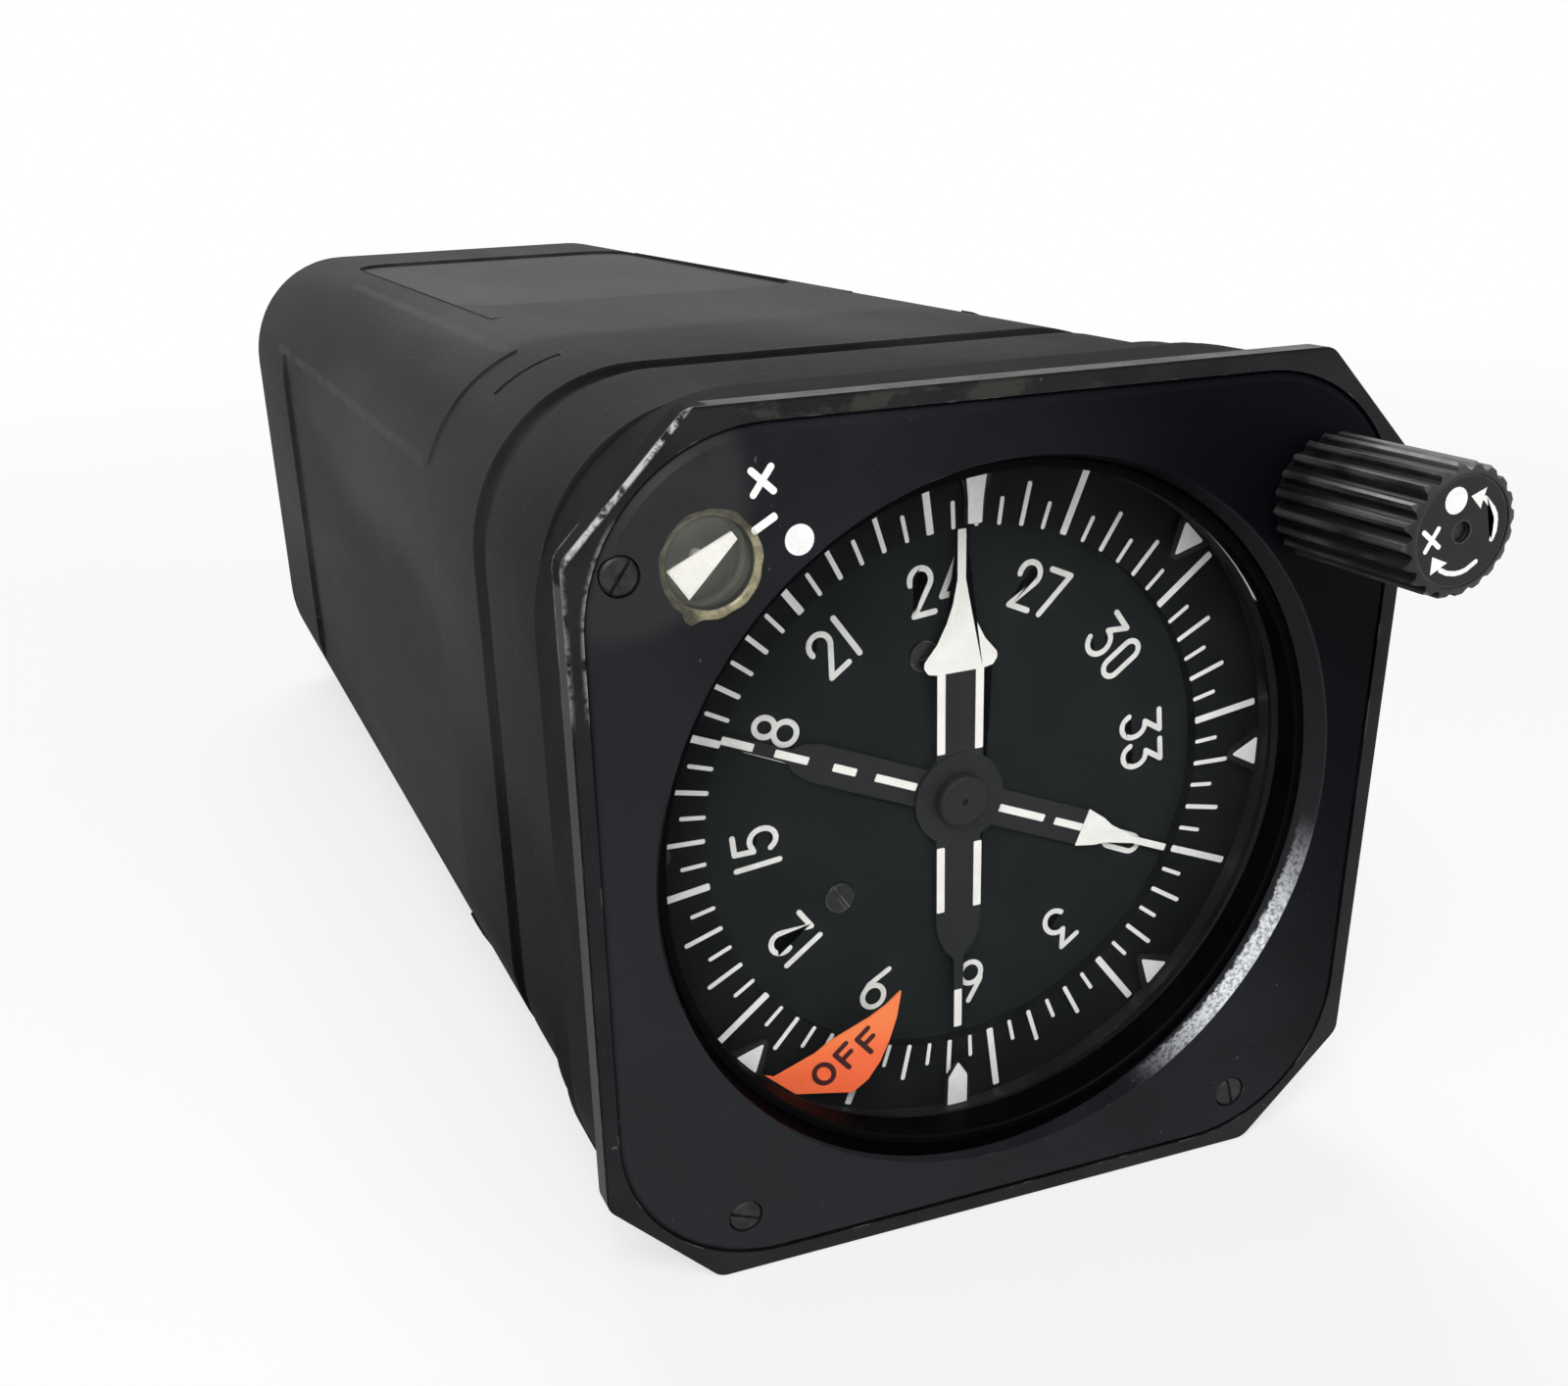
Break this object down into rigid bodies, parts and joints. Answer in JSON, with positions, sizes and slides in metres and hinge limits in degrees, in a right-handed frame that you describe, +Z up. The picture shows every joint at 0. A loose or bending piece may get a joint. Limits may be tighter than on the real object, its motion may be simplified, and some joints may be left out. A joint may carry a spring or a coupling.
{
  "type": "compass indicator",
  "caption": "Square-cased panel compass indicator with a turning heading card, two bearing pointers, a warning flag and a setting knob.",
  "frame": {"origin": "on the dial's axis, in the plane of the panel's front face, where the bezel seats", "axes": "+Y runs back along the case from the bezel, +X is to the right seen from the front, +Z is up"},
  "size_m": [0.0828, 0.256, 0.0828],
  "materials": {
    "black_enamel": "satin black, worn at the edges",
    "plate_black": "satin black",
    "case_grey": "matt dark grey wrinkle paint",
    "screw_steel": "dull blackened steel",
    "cover_glass": "clear",
    "seal_rubber": "matt",
    "ring_grey": "satin dark grey",
    "shell_metal": "olive conversion coating",
    "insert_plastic": "moulded insulator",
    "frame_aluminium": "clear anodised",
    "synchro_can": "satin",
    "board_green": "lacquered laminate",
    "transformer_iron": "varnished laminations",
    "card_black": "matt black",
    "shaft_steel": "ground",
    "gear_brass": "cut, unlacquered",
    "pointer_black": "matt black with white lines",
    "knob_black": "moulded, fluted",
    "flag_orange": "matt orange",
    "null_white": "matt white",
    "window_clear": "clear, slightly yellowed"
  },
  "bodies": {
    "case": {"bezel_casting": "black_enamel", "front_plate": "plate_black", "plate_screws": "screw_steel", "cover_glass": "cover_glass", "glass_gasket": "seal_rubber", "index_ring": "ring_grey", "mounting_collar": "case_grey", "case_can": "case_grey", "case_screws": "screw_steel", "receptacle_shell": "shell_metal", "receptacle_insert": "insert_plastic", "receptacle_screws": "screw_steel", "front_frame": "frame_aluminium", "middle_frame": "frame_aluminium", "rear_frame": "frame_aluminium", "frame_pillars": "frame_aluminium", "front_posts": "frame_aluminium", "servo_motor": "synchro_can", "heading_transmitter": "synchro_can", "axis_synchro": "synchro_can", "offset_synchro": "synchro_can", "flag_actuator": "synchro_can", "knob_transmitter": "synchro_can", "knob_bush": "screw_steel", "null_movement": "synchro_can", "null_window": "window_clear", "left_board": "board_green", "right_board": "board_green", "power_transformer": "transformer_iron"},
    "card": {"compass_card": "card_black", "number_disc": "card_black", "card_screws": "screw_steel", "card_sleeve": "shaft_steel", "card_gear": "gear_brass"},
    "front_needle": {"front_pointer": "pointer_black", "pointer_shaft": "shaft_steel", "hub_cap": "pointer_black"},
    "rear_needle": {"rear_pointer": "pointer_black", "pointer_sleeve": "shaft_steel", "sleeve_gear": "gear_brass"},
    "motor_pinion": {"servo_pinion": "gear_brass"},
    "heading_drive": {"heading_gear": "gear_brass"},
    "synchro_drive": {"synchro_gear": "gear_brass"},
    "set_knob": {"knob": "knob_black", "knob_cap": "knob_black", "knob_shaft": "shaft_steel"},
    "flag": {"off_flag": "flag_orange", "flag_shaft": "shaft_steel"},
    "null_wedge": {"null_pointer": "null_white"}
  },
  "joints": [
    {"name": "card_turn", "type": "hinge", "parent": "case", "child": "card", "pos_m": [0, -0.001, 0], "axis": [0, 1, 0], "continuous": true},
    {"name": "front_pointer_turn", "type": "hinge", "parent": "case", "child": "front_needle", "pos_m": [0, -0.00235, 0], "axis": [0, 1, 0], "continuous": true},
    {"name": "rear_pointer_turn", "type": "hinge", "parent": "case", "child": "rear_needle", "pos_m": [0, -0.00175, 0], "axis": [0, 1, 0], "continuous": true},
    {"name": "motor_pinion_turn", "type": "hinge", "parent": "case", "child": "motor_pinion", "pos_m": [0, 0.00115, -0.0285], "axis": [0, 1, 0], "continuous": true},
    {"name": "heading_gear_turn", "type": "hinge", "parent": "case", "child": "heading_drive", "pos_m": [0.02404, 0.00115, -0.02404], "axis": [0, 1, 0], "continuous": true},
    {"name": "synchro_gear_turn", "type": "hinge", "parent": "case", "child": "synchro_drive", "pos_m": [-0.02, 0.00945, 0], "axis": [0, 1, 0], "continuous": true},
    {"name": "knob_turn", "type": "hinge", "parent": "case", "child": "set_knob", "pos_m": [0.0302, -0.029, 0.0286], "axis": [0, 1, 0], "continuous": true},
    {"name": "flag_swing", "type": "hinge", "parent": "case", "child": "flag", "pos_m": [-0.031, -0.00285, -0.0225], "axis": [0, 1, 0], "range_deg": [0, 38], "stiffness_Nm_per_rad": 0.0001, "springref_deg": -28.65},
    {"name": "null_swing", "type": "hinge", "parent": "case", "child": "null_wedge", "pos_m": [-0.0291, -0.0102, 0.0292], "axis": [0, 1, 0], "range_deg": [-20, 20], "stiffness_Nm_per_rad": 0.00002}
  ],
  "couplings": [
    {"joint": "motor_pinion_turn", "follows": "card_turn", "ratio": -5.3333},
    {"joint": "heading_gear_turn", "follows": "card_turn", "ratio": -2.4},
    {"joint": "synchro_gear_turn", "follows": "rear_pointer_turn", "ratio": -1}
  ]
}
